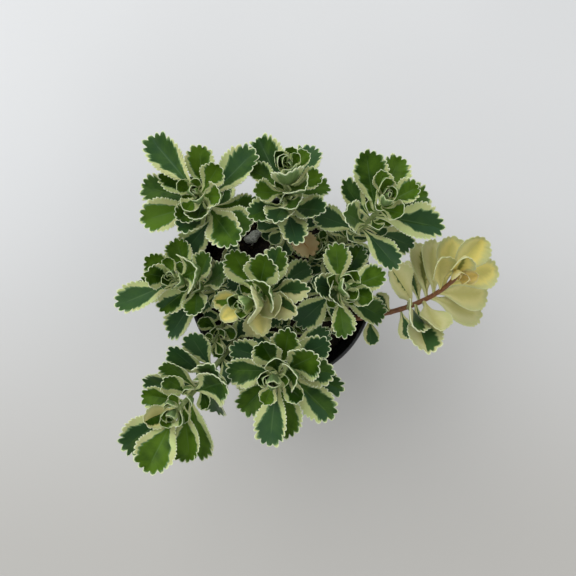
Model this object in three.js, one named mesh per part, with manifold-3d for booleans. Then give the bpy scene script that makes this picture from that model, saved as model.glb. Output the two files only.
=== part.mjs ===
// A variegated stonecrop, Sedum takesimense, in a black plastic nursery pot.
// Units are millimetres, +Z is up. The origin is the middle of the pot's underside.
// +X is right and +Y is away, for someone who looks straight down on the plant.

import * as THREE from "three";
import { mergeVertices } from "three/addons/utils/BufferGeometryUtils.js";
import Module from "manifold-3d";

const wasm = await Module();
wasm.setup();

// Pot: a 9 cm nursery pot with a stiff collar below its rolled rim.
const potHeight = 75;
const rimRadius = 45;
const footRadius = 31;
const wall = 1.1;
const collarHeight = 10;
const baseThickness = 2;
const potSides = 24;
const drainHoles = 6;
const drainRadius = 3.2;
const drainCircle = 21;

// Potting mix: fills the pot up to a lumpy surface below the rim.
const soilTop = 64;
const soilLump = 1.1;
const soilSides = 20;
const gap = 0.35;
const stemHoleDepth = 14;

// Stems.
const stemBaseRadius = 2.1;
const stemTipRadius = 1.25;
const stemSides = 6;
const stemSteps = 5;
const sproutThickness = 0.7;

// Leaves. Shares are of a leaf's length.
const halfWidthShare = 0.27;
const widestAt = 0.7;
const baseWidthShare = 0.12;
const footLength = 0.2;
const footWidth = 0.25;
const edgeThickness = 0.7;
const ribThickness = 1.3;
const ribAt = 0.55;
const cupShare = 0.16;
const longestLeaf = 31;
const broadLeaf = 30;
const goldenAngle = 137.5;

// How far a leaf turns its face from the stem's axis towards the light above, for the leaves
// near the crown and for the lowest ones, and the least length of a leaf at the crown.
const towardsLight = 0.7;
const lowLight = 0.9;
const shortestLeaf = 10;

// Room that a leaf keeps from the leaves and stems of other shoots, from the pot and from the mix.
const clearance = 2.5;
const wallClearance = 2.2;
const ownClearance = 2.2;

// The eye from which the leaves were measured, straight above the pot: place and height.
const eye = [3.4, 0.5];
const eyeHeight = 400;

// The leafy shoots. base: where the stem leaves the mix. crown: the tip of the stem.
// lean: bearing and tilt of the tip in degrees, bearings counted from +X towards +Y.
// spread: length of stem that carries the open leaves. tips: where the tip of each open leaf
// is seen by the eye, across and up from the crown, at the crown's height, from the lowest
// leaf to the highest. low: how far apart the leaves below those stand, and their lengths,
// where they differ from lowLeaves. light and shortest: where they differ from the above.
const lowLeaves = { every: 6.5, lengths: [15, 22] };
const shoots = [
  {
    name: "shoot_front",
    base: [3, -22],
    crown: [-3, -38, 126],
    lean: [194, 16],
    spread: 20,
    tips: [
      [-1, -26.5], [23.5, 16], [-17, 14], [29, -3.5], [30, 5], [25, -15], [-12.5, -12], [-18.5, 4.5],
      [6, -22.5], [7, 22.5], [21.5, 13.5], [-6, 18.5], [0.5, 10.5], [16, 4.5], [11, -7], [-8.5, 1.5], [-3, -9],
    ],
  },
  {
    name: "shoot_back_left",
    base: [-22, 26],
    crown: [-34.5, 40, 127],
    lean: [130, 5],
    spread: 20,
    tips: [
      [-19.5, 23], [24.5, 16.5], [-7.5, -16], [27.5, -7], [23.5, -17], [-21.5, 2.5], [18.5, -24],
      [-22.5, -12], [-8, -12], [0.5, -19.5], [1.5, 19.5], [-15, 9.5], [10, 12], [13.5, -2.5], [-5, -8.5],
    ],
  },
  {
    name: "shoot_back_middle",
    base: [2, 25],
    crown: [4, 50.5, 128],
    lean: [82, 32],
    spread: 22,
    tips: [
      [3, -32.5], [10, 9], [15, -19], [-17, -21], [-8, -29], [10.5, -27.5], [-12.5, 11], [17, -7.5],
      [-15.5, -10.5], [-17, -0.5], [14, -4], [11, -15], [3, -15], [1.5, 8], [7.5, 7], [-5.5, 4],
    ],
  },
  {
    name: "shoot_back_right",
    base: [22, 20],
    crown: [44, 38, 130],
    lean: [66, 28],
    spread: 20,
    tips: [
      [4, -29.5], [10, -20.5], [-18.5, -7], [22.5, -13], [-16.5, 5], [18.5, 2.5], [-10, 18], [5, 16],
      [7.5, -7.5], [13, 4], [-3, 11],
    ],
  },
  {
    name: "shoot_centre",
    base: [-3, 1],
    crown: [-15.5, -6.5, 122],
    lean: [204, 36],
    spread: 18,
    tips: [
      [28, 6.5], [27, -6.5], [17, -10.5], [4, -13], [15.5, 24], [26.5, 16], [8.5, -12], [-5, 23.5],
      [9.5, 19.5], [18.5, -6], [-13, 2], [-9.5, -6.5],
    ],
  },
  {
    name: "shoot_right",
    base: [19, -3],
    crown: [27.5, 1, 120],
    lean: [60, 8],
    spread: 16,
    tips: [
      [16, -13], [-13, 1], [-10.5, -6], [7, 17], [-0.5, -21.5], [-4, 18.5], [17, 5.5], [12, -5.5],
      [-9, -1.5], [5.5, 7.5],
    ],
  },
  {
    name: "shoot_left",
    base: [-25, 2],
    crown: [-47, 5.5, 112],
    lean: [142, 28],
    spread: 20,
    tips: [
      [-24, -13], [-1, -26], [25, 3], [10, -17], [18, 11.5], [-5, -15], [-13.5, -5.5], [1.5, 16.5],
      [-11, 8.5], [-15.5, 2.5], [13.5, 4],
    ],
  },
  {
    name: "shoot_front_left",
    base: [-20, -22],
    crown: [-47, -55, 108],
    lean: [226, 28],
    spread: 21,
    tips: [
      [-1.5, 29.5], [20, 1], [21, 26], [-15, 11], [-22, -15], [-4.5, 24.5], [23.5, 14], [12.5, -20.5],
      [-4.5, 16.5], [-11, -25], [-14.5, 8], [7, -21.5], [-14.5, -3], [4.5, -4.5],
    ],
  },
  {
    name: "shoot_right_pale",
    base: [29, -15],
    crown: [78.5, 6, 105],
    lean: [66, 36],
    spread: 24,
    light: 0.85,
    shortest: 17,
    tips: [
      [-19.5, -23], [-27.5, 2], [-12.5, -31.5], [-22, 6], [-6, -29], [-16.5, 13.5], [10, -18], [-10.5, 15.5],
      [12.5, -8], [-7, 9], [-1.5, 17.5], [18, 3.5], [9.5, 17.5], [4.5, 9.5],
    ],
    low: { every: 5, lengths: [12, 15] },
  },
];

// The young side shoots, whose short leaves all follow the spiral.
const sprouts = [
  { name: "sprout_front_left", base: [-27, -12], crown: [-32, -25, 92], lean: [230, 15], count: 8 },
  { name: "sprout_back", base: [10, 9], crown: [19, 20, 98], lean: [60, 20], count: 8 },
  { name: "sprout_front_right", base: [17, -20], crown: [17, -19, 88], lean: [300, 25], count: 7 },
];

// White pumice grains that lie half sunk in the mix: place, half sizes and turn.
const grains = [
  { name: "pumice_1", place: [-14.5, 26], size: [4.6, 2.8, 2.4], turn: 35 },
  { name: "pumice_2", place: [6, -6], size: [2.4, 1.9, 1.7], turn: 110 },
  { name: "pumice_3", place: [27, 24], size: [2.2, 1.7, 1.5], turn: 60 },
];

const radians = (degrees) => (degrees * Math.PI) / 180;

// A small seeded random source, so that the same plant grows each time.
function seeded(seed) {
  let state = seed * 7919 + 17;
  return () => {
    state = (state * 16807) % 2147483647;
    return state / 2147483647;
  };
}

// Height of the mix at a place.
function soilHeight(x, y) {
  const waves = Math.sin(0.31 * x + 1.3) * Math.cos(0.27 * y) + 0.6 * Math.sin(0.53 * y - 0.41 * x);
  return soilTop + soilLump * waves;
}

// Inner radius of the pot at a height.
function innerRadius(z) {
  const collarFoot = potHeight - collarHeight;
  const share = Math.min(1, z / collarFoot);
  return footRadius - wall + (rimRadius - 2.6 - footRadius) * share + (z > collarFoot ? 1.3 : 0);
}

// A bearing and a rise above the horizon as a unit vector.
function direction(bearing, rise) {
  const flat = Math.cos(rise);
  return new THREE.Vector3(flat * Math.cos(bearing), flat * Math.sin(bearing), Math.sin(rise));
}

// The stem's centreline: straight up out of the mix, then over to the crown along its lean.
function stemOf({ base, crown, lean }) {
  const start = new THREE.Vector3(base[0], base[1], soilTop);
  const end = new THREE.Vector3(...crown);
  const axis = direction(radians(lean[0]), radians(90 - lean[1]));
  const reach = end.distanceTo(start);
  const curve = new THREE.CubicBezierCurve3(
    start,
    start.clone().add(new THREE.Vector3(0, 0, 0.36 * reach)),
    end.clone().addScaledVector(axis, -0.5 * reach),
    end,
  );
  let length = 0;
  for (let i = 0; i < 24; i++) length += curve.getPoint(i / 24).distanceTo(curve.getPoint((i + 1) / 24));
  return { curve, length };
}

// Half of a leaf's width at a share u of its length, as a share of its widest half.
function profile(u) {
  if (u < widestAt) {
    return baseWidthShare + (1 - baseWidthShare) * Math.sin((Math.PI / 2) * (u / widestAt)) ** 2.4;
  }
  const past = (u - widestAt) / (1 - widestAt);
  return Math.sqrt(Math.max(0, 1 - past * past));
}

// A point of a leaf: u along its length, v across it in mm, lift off its middle surface in mm.
function leafPoint(leaf, u, v, lift) {
  const { origin, along, normal, side, length, halfWidth, curl } = leaf;
  const turn = curl * (u - 0.5);
  const x = (length * (Math.sin(turn) + Math.sin(curl / 2))) / curl;
  const z = (length * (Math.cos(curl / 2) - Math.cos(turn))) / curl;
  const raise = cupShare * length * (v / halfWidth) ** 2 * Math.min(1, 1.6 * Math.max(u, 0)) * 0.5 + lift;
  return origin
    .clone()
    .addScaledVector(along, x - raise * Math.sin(turn))
    .addScaledVector(normal, z + raise * Math.cos(turn))
    .addScaledVector(side, v);
}

// A leaf on a stem: where it grows, where it points and how big it is.
function makeLeaf({ stem, below, bearing, rise, length, curl, roll, width, lobes, turnsUp }) {
  const t = Math.max(0.02, 1 - below / stem.length);
  const origin = stem.curve.getPoint(t);
  const axis = stem.curve.getTangent(t);
  const along = direction(bearing, rise);
  const light = axis.clone().multiplyScalar(1 - turnsUp);
  light.z += turnsUp;
  const normal = light.addScaledVector(along, -light.dot(along)).normalize();
  normal.applyAxisAngle(along, roll);
  const side = normal.clone().cross(along);
  return {
    stem, below, bearing, rise, length, curl, roll, width, lobes,
    origin, along, normal, side, halfWidth: halfWidthShare * length * width,
  };
}

// Points spread over a leaf, for telling whether two leaves would touch. The blade is the
// part of them that is past the narrow foot.
function leafSamples(leaf) {
  const points = [];
  for (let i = 1; i <= 10; i++) {
    const u = 0.12 + 0.88 * (i / 10);
    const edge = leaf.halfWidth * profile(u);
    for (const share of [-1, -0.67, -0.33, 0, 0.33, 0.67, 1]) points.push(leafPoint(leaf, u, share * edge, 0));
  }
  return { ...cluster(points), blade: points.slice(21) };
}

function stemSamples(stem) {
  const points = [];
  for (let i = 0; i <= 24; i++) points.push(stem.curve.getPoint(i / 24));
  return cluster(points);
}

function cluster(points) {
  const centre = new THREE.Vector3();
  for (const p of points) centre.add(p);
  centre.divideScalar(points.length);
  const radius = Math.max(...points.map((p) => p.distanceTo(centre)));
  return { points, centre, radius };
}

function near(a, b) {
  if (a.centre.distanceTo(b.centre) > a.radius + b.radius + clearance) return false;
  return a.points.some((p) => b.points.some((q) => p.distanceTo(q) < clearance));
}

// The same for two leaves of one shoot, which meet at their feet and must not cross further out.
function crosses(a, b) {
  if (!b.blade || a.centre.distanceTo(b.centre) > a.radius + b.radius) return false;
  return a.blade.some((p) => b.blade.some((q) => p.distanceTo(q) < ownClearance));
}

// Whether a point lies in or too near the pot, the mix or the table.
function inPot(p) {
  const r = Math.hypot(p.x, p.y);
  if (p.z < wallClearance) return true;
  if (r < innerRadius(potHeight) && p.z < soilTop + soilLump + wallClearance) return true;
  return p.z < potHeight + wallClearance && Math.abs(r - rimRadius + wall) < wallClearance + wall;
}

// A leaf that would touch another shoot turns aside in small steps, or grows shorter. One
// that finds no room is left out.
const taken = [];
function settle(wanted, owner) {
  for (const apart of [true, false]) {
    const leaf = findRoom(wanted, owner, apart);
    if (leaf) return leaf;
  }
  return null;
}

function findRoom(wanted, owner, apart) {
  for (const shorter of [1, 0.84, 0.7]) {
    for (const aside of [0, 9, -9, 18, -18]) {
      for (const up of [0, 9, -9, 18, -18, 28, -28, 40]) {
        const leaf = makeLeaf({
          ...wanted,
          length: wanted.length * shorter,
          bearing: wanted.bearing + radians(aside),
          rise: wanted.rise + radians(up),
        });
        const samples = leafSamples(leaf);
        if (samples.points.some(inPot)) continue;
        if (taken.some((other) => other.owner !== owner && near(samples, other))) continue;
        if (apart && taken.some((other) => other.owner === owner && crosses(samples, other))) continue;
        taken.push({ ...samples, owner });
        return leaf;
      }
    }
  }
  return null;
}

// The rise of a leaf that stands at an angle to the stem's axis, on a bearing.
function riseFor(axis, bearing, angle) {
  const forward = axis.x * Math.cos(bearing) + axis.y * Math.sin(bearing);
  const size = Math.hypot(forward, axis.z);
  return Math.atan2(axis.z, forward) - Math.acos(Math.max(-1, Math.min(1, Math.cos(angle) / size)));
}

// An open leaf, from where the eye sees its tip. It grows from its place in the order of the
// leaves, or from as much higher up the stem as it must to reach the tip.
function openLeaf(plant, share, tip, random) {
  let below = plant.spread * (1 - share) + 2.5;
  let leaf = reachTip(plant, below, tip);
  while (leaf.reach > longestLeaf && below > 4) {
    below -= 1.5;
    leaf = reachTip(plant, below, tip);
  }
  return {
    ...leaf,
    curl: 0.5 - 0.9 * (1 - share) + 0.3 * random(),
    roll: radians(24 * (random() - 0.5)),
    width: 0.76 + 0.3 * share + 0.16 * random(),
    lobes: leaf.length > broadLeaf ? 3 : 2,
    turnsUp: plant.light ?? towardsLight,
  };
}

// A leaf from a place on the stem to its tip. It stands at its natural angle to the stem where
// that gives it a likely length, and otherwise rises or dips until it has one.
function reachTip({ stem, crown, spread, shortest: least = shortestLeaf }, below, [across, up]) {
  const t = Math.max(0.02, 1 - below / stem.length);
  const origin = stem.curve.getPoint(t);
  const axis = stem.curve.getTangent(t);
  const age = Math.min(1, below / spread);
  const shortest = least + 15 * age;
  let height = origin.z;
  let bearing, rise, length, reach;
  for (let round = 0; round < 3; round++) {
    const scale = (eyeHeight - height) / (eyeHeight - crown[2]);
    const x = eye[0] + (crown[0] + across - eye[0]) * scale - origin.x;
    const y = eye[1] + (crown[1] + up - eye[1]) * scale - origin.y;
    reach = Math.hypot(x, y);
    bearing = Math.atan2(y, x);
    rise = riseFor(axis, bearing, radians(50 + 44 * age));
    length = reach / Math.cos(rise);
    if (length > longestLeaf || length < shortest) {
      length = length > longestLeaf ? longestLeaf : shortest;
      const lean = Math.acos(Math.min(1, reach / length));
      rise = rise < radians(-15) ? -lean : lean;
    }
    height = origin.z + length * Math.sin(rise);
  }
  return { stem, below, bearing, rise, length, reach };
}

// Leaves that follow the spiral, a golden angle apart, from low on the stem to high.
function spiral(stem, { count, from, to, angles, lengths, phase, curl, lobes, turnsUp }, random) {
  const leaves = [];
  for (let i = 0; i < count; i++) {
    const share = count > 1 ? i / (count - 1) : 1;
    const below = from + (to - from) * share;
    const axis = stem.curve.getTangent(Math.max(0.02, 1 - below / stem.length));
    const angle = radians(angles[0] + (angles[1] - angles[0]) * share);
    const turn = radians(phase + goldenAngle * i + 16 * (random() - 0.5));
    const across = new THREE.Vector3(1, 0, 0).addScaledVector(axis, -axis.x).normalize();
    const other = axis.clone().cross(across);
    const outward = across.multiplyScalar(Math.cos(turn)).addScaledVector(other, Math.sin(turn));
    const along = outward.multiplyScalar(Math.sin(angle)).addScaledVector(axis, Math.cos(angle));
    leaves.push({
      stem, below,
      bearing: Math.atan2(along.y, along.x),
      rise: Math.asin(along.z),
      length: (lengths[0] + (lengths[1] - lengths[0]) * share) * (0.92 + 0.16 * random()),
      curl: curl + 0.2 * random(),
      roll: radians(14 * (random() - 0.5)),
      width: 0.92 + 0.2 * random(),
      lobes,
      turnsUp,
    });
  }
  return leaves;
}

// Every leaf that would like to grow, in the order in which room is given out.
function growPlant() {
  const plants = [...shoots, ...sprouts].map((spec, i) => ({
    ...spec,
    stem: stemOf(spec),
    random: seeded(i + 1),
    leaves: [],
  }));
  for (const plant of plants) taken.push({ ...stemSamples(plant.stem), owner: plant.name });
  const grow = (plant, wanted) => {
    for (const one of wanted) {
      const leaf = settle(one, plant.name);
      if (leaf) plant.leaves.push(leaf);
    }
  };
  for (const plant of plants.filter((p) => p.tips)) {
    const last = plant.tips.length - 1;
    grow(plant, plant.tips.map((tip, i) => openLeaf(plant, i / last, tip, plant.random)));
  }
  for (const plant of plants.filter((p) => p.tips)) {
    const bud = {
      count: 4, from: 3, to: 1, angles: [52, 27], lengths: [12.5, 8.5], phase: 360 * plant.random(), curl: 0.75,
      lobes: 1, turnsUp: plant.light ?? towardsLight,
    };
    grow(plant, spiral(plant.stem, bud, plant.random));
  }
  for (const plant of plants) {
    const phase = 360 * plant.random();
    const { stem, low = lowLeaves } = plant;
    if (plant.tips) {
      const from = stem.length - 7;
      const to = plant.spread + 6;
      const count = Math.max(1, Math.floor((from - to) / low.every) + 1);
      const old = {
        count, from, to, angles: [88, 96], lengths: low.lengths, phase, curl: -0.5, lobes: 1, turnsUp: lowLight,
      };
      grow(plant, spiral(stem, old, plant.random));
    } else {
      const from = Math.min(15, stem.length - 6);
      const whorl = {
        count: plant.count, from, to: 1, angles: [92, 35], lengths: [15, 8], phase, curl: 0.25, lobes: 1,
        turnsUp: towardsLight,
      };
      grow(plant, spiral(stem, whorl, plant.random));
    }
  }
  return plants;
}

// A closed triangle list as a solid, whichever way round its triangles were listed.
function solidFrom(points, triangles) {
  const vertProperties = new Float32Array(points.flatMap((p) => [p.x, p.y, p.z]));
  const build = (list) =>
    new wasm.Manifold(new wasm.Mesh({ numProp: 3, vertProperties, triVerts: new Uint32Array(list.flat()) }));
  const made = build(triangles);
  return made.volume() > 0 ? made : build(triangles.map(([a, b, c]) => [a, c, b]));
}

function solidOfGeometry(geometry) {
  const plain = new THREE.BufferGeometry();
  plain.setAttribute("position", geometry.getAttribute("position"));
  if (geometry.index) plain.setIndex(geometry.index);
  const merged = mergeVertices(plain, 1e-3);
  return new wasm.Manifold(
    new wasm.Mesh({
      numProp: 3,
      vertProperties: merged.attributes.position.array,
      triVerts: new Uint32Array(merged.index.array),
    }),
  );
}

// The solid's largest body as a mesh. Loose scraps that a cut leaves are dropped.
function meshOf(solid, name, material) {
  const body = solid.decompose().sort((a, b) => b.volume() - a.volume())[0];
  const { numProp, vertProperties, triVerts, numVert } = body.getMesh();
  const positions = new Float32Array(numVert * 3);
  for (let i = 0; i < numVert; i++) positions.set(vertProperties.subarray(i * numProp, i * numProp + 3), i * 3);
  const geometry = new THREE.BufferGeometry();
  geometry.setAttribute("position", new THREE.BufferAttribute(positions, 3));
  geometry.setIndex(new THREE.BufferAttribute(new Uint32Array(triVerts), 1));
  geometry.computeVertexNormals();
  const mesh = new THREE.Mesh(geometry, material);
  mesh.name = name;
  return mesh;
}

// One side of a leaf's outline, from near the root to the last notch, as [u, v] pairs. A lobe
// stands out from the smooth edge, and the notch beside it lies in.
function leafSide(leaf) {
  const side = [[footLength, leaf.halfWidth * footWidth]];
  const steps = 2 * leaf.lobes + 1;
  const tooth = 0.06;
  for (let i = 1; i < steps; i++) {
    const u = 0.42 + 0.58 * Math.sin((Math.PI / 2) * (i / steps));
    const out = i % 2 === 1 ? tooth : -tooth * 0.7;
    side.push([u + out * 0.6 * (i / steps), leaf.halfWidth * (profile(u) + out * 1.5)]);
  }
  return side;
}

// A leaf as a thin solid: two alike faces, folded along the midrib, and a narrow edge.
function leafSolid(leaf) {
  const left = leafSide(leaf);
  const flat = [[0, 0], ...left, [1.02, 0], ...left.map(([u, v]) => [u, -v]).reverse()];
  const ring = flat.length;
  const tip = left.length + 1;
  flat.push([ribAt, 0]);
  const middle = [0, ring, tip];
  const face = [
    ...strip(flat, middle, [...Array(tip + 1).keys()]),
    ...strip(flat, middle, [0, ...Array.from({ length: ring - tip }, (_, i) => ring - 1 - i)]).map(
      ([a, b, c]) => [a, c, b],
    ),
  ];
  const total = flat.length;
  const halfThickness = (i) => (i >= ring ? ribThickness : edgeThickness) / 2;
  const points = [1, -1].flatMap((way) =>
    flat.map(([u, v], i) => leafPoint(leaf, u, v, way * halfThickness(i))),
  );
  const edge = [];
  for (let i = 0; i < ring; i++) {
    const next = (i + 1) % ring;
    edge.push([i, i + total, next], [next, i + total, next + total]);
  }
  const under = face.map(([a, b, c]) => [a + total, c + total, b + total]);
  return solidFrom(points, [...face, ...under, ...edge]);
}

// Triangles between two chains of points that share their first and last point.
function strip(flat, inner, outer) {
  const triangles = [];
  let i = 0;
  let j = 0;
  while (i < inner.length - 1 || j < outer.length - 1) {
    const innerNext = i < inner.length - 1 ? flat[inner[i + 1]][0] : Infinity;
    const outerNext = j < outer.length - 1 ? flat[outer[j + 1]][0] : Infinity;
    const stepOuter = outerNext <= innerNext;
    const next = stepOuter ? outer[j + 1] : inner[i + 1];
    if (new Set([inner[i], outer[j], next]).size === 3) triangles.push([inner[i], outer[j], next]);
    if (stepOuter) j += 1;
    else i += 1;
  }
  return triangles;
}

// The stem: a tapered tube from its foot in the mix up to the crown.
function stemSolid({ stem, base }, thickness) {
  const radiusAt = (t) => thickness * (stemBaseRadius + (stemTipRadius - stemBaseRadius) * t);
  const stations = [{ centre: new THREE.Vector3(base[0], base[1], soilTop - stemHoleDepth + gap), t: 0 }];
  for (let i = 0; i <= stemSteps; i++) stations.push({ centre: stem.curve.getPoint(i / stemSteps), t: i / stemSteps });
  const points = [];
  for (const { centre, t } of stations) {
    const axis = stem.curve.getTangent(t);
    const across = new THREE.Vector3(0, 1, 0).addScaledVector(axis, -axis.y).normalize();
    const other = axis.clone().cross(across);
    for (let k = 0; k < stemSides; k++) {
      const turn = (2 * Math.PI * k) / stemSides;
      points.push(
        centre
          .clone()
          .addScaledVector(across, radiusAt(t) * Math.cos(turn))
          .addScaledVector(other, radiusAt(t) * Math.sin(turn)),
      );
    }
  }
  const triangles = [];
  for (let s = 0; s < stations.length - 1; s++) {
    for (let k = 0; k < stemSides; k++) {
      const a = s * stemSides + k;
      const b = s * stemSides + ((k + 1) % stemSides);
      triangles.push([a, b, a + stemSides], [b, b + stemSides, a + stemSides]);
    }
  }
  const top = (stations.length - 1) * stemSides;
  for (let k = 1; k < stemSides - 1; k++) triangles.push([0, k + 1, k], [top, top + k, top + k + 1]);
  return solidFrom(points, triangles);
}

function prism(radius, sides, low, high, x, y, turn = 0) {
  const geometry = new THREE.CylinderGeometry(radius, radius, high - low, sides);
  geometry.rotateY(turn);
  geometry.rotateX(Math.PI / 2);
  geometry.translate(x, y, (low + high) / 2);
  return solidOfGeometry(geometry);
}

function lathe(profilePoints, sides) {
  const geometry = new THREE.LatheGeometry(
    profilePoints.map(([r, z]) => new THREE.Vector2(r, z)),
    sides,
  );
  geometry.rotateX(Math.PI / 2);
  return geometry;
}

// The pot: base, sloping wall, collar and a rolled rim, with drain holes round the base.
function makePot(material) {
  const collarFoot = potHeight - collarHeight;
  const wallTop = innerRadius(collarFoot) + wall;
  const outline = [
    [0, 0],
    [footRadius - 1, 0],
    [footRadius, 1],
    [wallTop, collarFoot - 1],
    [wallTop + 1.1, collarFoot],
    [rimRadius - 0.9, potHeight - 2.4],
    [rimRadius, potHeight - 1.9],
    [rimRadius, potHeight - 0.5],
    [rimRadius - 0.5, potHeight],
    [rimRadius - 1.2, potHeight],
    [rimRadius - 1.6, potHeight - 0.6],
    [innerRadius(collarFoot + 1), collarFoot + 1],
    [innerRadius(collarFoot - 1), collarFoot - 1],
    [innerRadius(baseThickness), baseThickness],
    [0, baseThickness],
  ];
  let solid = solidOfGeometry(lathe(outline, potSides));
  for (let i = 0; i < drainHoles; i++) {
    const turn = (2 * Math.PI * i) / drainHoles;
    const hole = prism(drainRadius, 8, -1, baseThickness + 1, drainCircle * Math.cos(turn), drainCircle * Math.sin(turn));
    solid = solid.subtract(hole);
  }
  return meshOf(solid, "pot", material);
}

// A pumice grain: a lumpy stone, grown by `more` where it is used to press its own bed.
function grainSolid({ place, size, turn }, more) {
  const geometry = mergeVertices(stripped(new THREE.IcosahedronGeometry(1, 1)), 1e-4);
  const at = geometry.getAttribute("position");
  for (let i = 0; i < at.count; i++) {
    const v = new THREE.Vector3().fromBufferAttribute(at, i);
    const bump = 1 + 0.13 * Math.sin(5.1 * v.x + 2.3 * v.y + turn) + 0.1 * Math.cos(4.3 * v.z - 3.7 * v.y);
    v.multiplyScalar(bump);
    at.setXYZ(i, v.x * (size[0] + more), v.y * (size[1] + more), v.z * (size[2] + more));
  }
  geometry.rotateZ(radians(turn));
  geometry.translate(place[0], place[1], soilHeight(...place) + 0.45 * size[2]);
  return solidOfGeometry(geometry);
}

function stripped(geometry) {
  geometry.deleteAttribute("normal");
  geometry.deleteAttribute("uv");
  return geometry;
}

// The potting mix, with a bed under each grain and a hole for each stem.
function makeSoil(plants, material) {
  const floor = baseThickness + gap;
  const edge = (z) => innerRadius(z) - 1.3 * gap;
  const shoulder = soilTop - 2.5;
  const outline = [
    [0, floor],
    [edge(floor), floor],
    [edge(shoulder), shoulder],
    ...[0.97, 0.75, 0.5, 0.25, 0].map((share) => [share * edge(shoulder), soilTop]),
  ];
  const geometry = lathe(outline, soilSides);
  const at = geometry.getAttribute("position");
  for (let i = 0; i < at.count; i++) {
    if (at.getZ(i) > shoulder + 1) at.setZ(i, soilHeight(at.getX(i), at.getY(i)));
  }
  let solid = solidOfGeometry(geometry);
  for (const grain of grains) solid = solid.subtract(grainSolid(grain, 1.4 * gap));
  for (const { base, tips } of plants) {
    const radius = stemBaseRadius * (tips ? 1 : sproutThickness) + 1.4 * gap;
    const hole = prism(radius, stemSides, soilTop - stemHoleDepth, soilTop + 9, base[0], base[1]);
    solid = solid.subtract(hole);
  }
  return meshOf(solid, "soil", material);
}

const plastic = new THREE.MeshStandardMaterial({ color: 0x0d0e12, roughness: 0.38, metalness: 0 });
const mix = new THREE.MeshStandardMaterial({ color: 0x1d1712, roughness: 0.95, metalness: 0 });
const pumice = new THREE.MeshStandardMaterial({ color: 0xc4c9bd, roughness: 0.9, metalness: 0 });
const greenLeaf = new THREE.MeshStandardMaterial({ color: 0x4b6a3a, roughness: 0.5, metalness: 0 });
const paleLeaf = new THREE.MeshStandardMaterial({ color: 0xc9c48a, roughness: 0.5, metalness: 0 });

const root = new THREE.Group();
const plants = growPlant();
root.add(makePot(plastic), makeSoil(plants, mix));
for (const grain of grains) root.add(meshOf(grainSolid(grain, 0), grain.name, pumice));
for (const plant of plants) {
  let solid = stemSolid(plant, plant.tips ? 1 : sproutThickness);
  for (const leaf of plant.leaves) solid = solid.add(leafSolid(leaf));
  root.add(meshOf(solid, plant.name, plant.name === "shoot_right_pale" ? paleLeaf : greenLeaf));
}

export default root;
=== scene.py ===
"""A variegated stonecrop, Sedum takesimense, in a black nursery pot, seen from straight above.

The plant grows here by the same rule as the solids of the frame, with finer leaves, stems,
mix and pot. Growing is done in millimetres, and meshes are made in metres.
"""

import itertools
import math

import bpy
import numpy as np
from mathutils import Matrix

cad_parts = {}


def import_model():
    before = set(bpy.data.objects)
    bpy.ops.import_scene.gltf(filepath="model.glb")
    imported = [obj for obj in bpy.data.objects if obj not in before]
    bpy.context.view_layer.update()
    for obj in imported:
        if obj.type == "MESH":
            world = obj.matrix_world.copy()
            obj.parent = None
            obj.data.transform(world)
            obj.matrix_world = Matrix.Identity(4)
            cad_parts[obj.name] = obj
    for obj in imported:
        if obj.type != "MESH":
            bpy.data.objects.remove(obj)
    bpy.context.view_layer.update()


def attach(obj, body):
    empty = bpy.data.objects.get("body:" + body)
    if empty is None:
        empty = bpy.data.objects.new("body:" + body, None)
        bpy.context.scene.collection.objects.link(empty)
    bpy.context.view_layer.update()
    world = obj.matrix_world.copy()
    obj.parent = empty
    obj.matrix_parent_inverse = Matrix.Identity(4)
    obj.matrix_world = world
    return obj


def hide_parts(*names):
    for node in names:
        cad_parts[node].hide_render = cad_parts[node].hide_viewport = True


MM = 0.001
PHOTO_SIZE = 576

# Pot
POT_HEIGHT = 75
RIM_RADIUS = 45
FOOT_RADIUS = 31
WALL = 1.1
COLLAR_HEIGHT = 10
COLLAR_FOOT = POT_HEIGHT - COLLAR_HEIGHT
COLLAR_STEP = 1.3
WALL_INSET = 2.6
BASE_THICKNESS = 2
DRAIN_HOLES = 6
DRAIN_RADIUS = 3.2
DRAIN_CIRCLE = 21
POT_SIDES = 160

# Potting mix
SOIL_TOP = 64
SOIL_LUMP = 1.1
SOIL_SIDES = 200
CRUMBS = 1000
SLIVER_SHARE = 0.25
GRIT_SHARE = 0.03
GAP = 0.35

# Stems
STEM_BASE_RADIUS = 1.6
STEM_TIP_RADIUS = 0.85
SPROUT_THICKNESS = 0.7
STEM_FOOT = 10
STEM_RISE = 0.36
STEM_ARCH = 0.5
STEM_SIDES = 14
STEM_STEPS = 70
NODE_SWELLING = 0.16

# Leaves: shares are of a leaf's length
HALF_WIDTH_SHARE = 0.27
WIDEST_AT = 0.7
BASE_WIDTH_SHARE = 0.12
FOOT_CURVE = 2.4
CUP_SHARE = 0.16
CUP_RISE = 1.6
LONGEST_LEAF = 31
GOLDEN_ANGLE = 137.5
TOWARDS_LIGHT = 0.7
LOW_LIGHT = 0.9
LOW_AGE = 0.9

# Open leaves: the least length near the crown and what age adds, and the same for the angle to
# the stem in degrees
SHORTEST_OPEN, OLDER_LONGER = 10, 15
OPEN_ANGLE, OLDER_ANGLE = 50, 44

# Room that leaves keep from each other, the pot and the mix
CLEARANCE = 2.5
WALL_CLEARANCE = 2.2
OWN_CLEARANCE = 2.2

# What a leaf tries, in turn, to find room: shorter, turned aside, and raised or lowered
SHORTER = (1, 0.84, 0.7)
ASIDE = (0, 9, -9, 18, -18)
RAISED = (0, 9, -9, 18, -18, 28, -28, 40)

# Where a leaf's room is measured: rows along it, the first ones near the stem, and shares across
SAMPLE_ROWS = 10
STALK_ROWS = 3
SAMPLE_FROM = 0.12
SAMPLE_SHARES = (-1, -0.67, -0.33, 0, 0.33, 0.67, 1)

# Small leaves for each mm of stem: in the axils, and low between the stems
AXILS_PER_MM = 0.45
FILLING_PER_MM = 0.4

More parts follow.
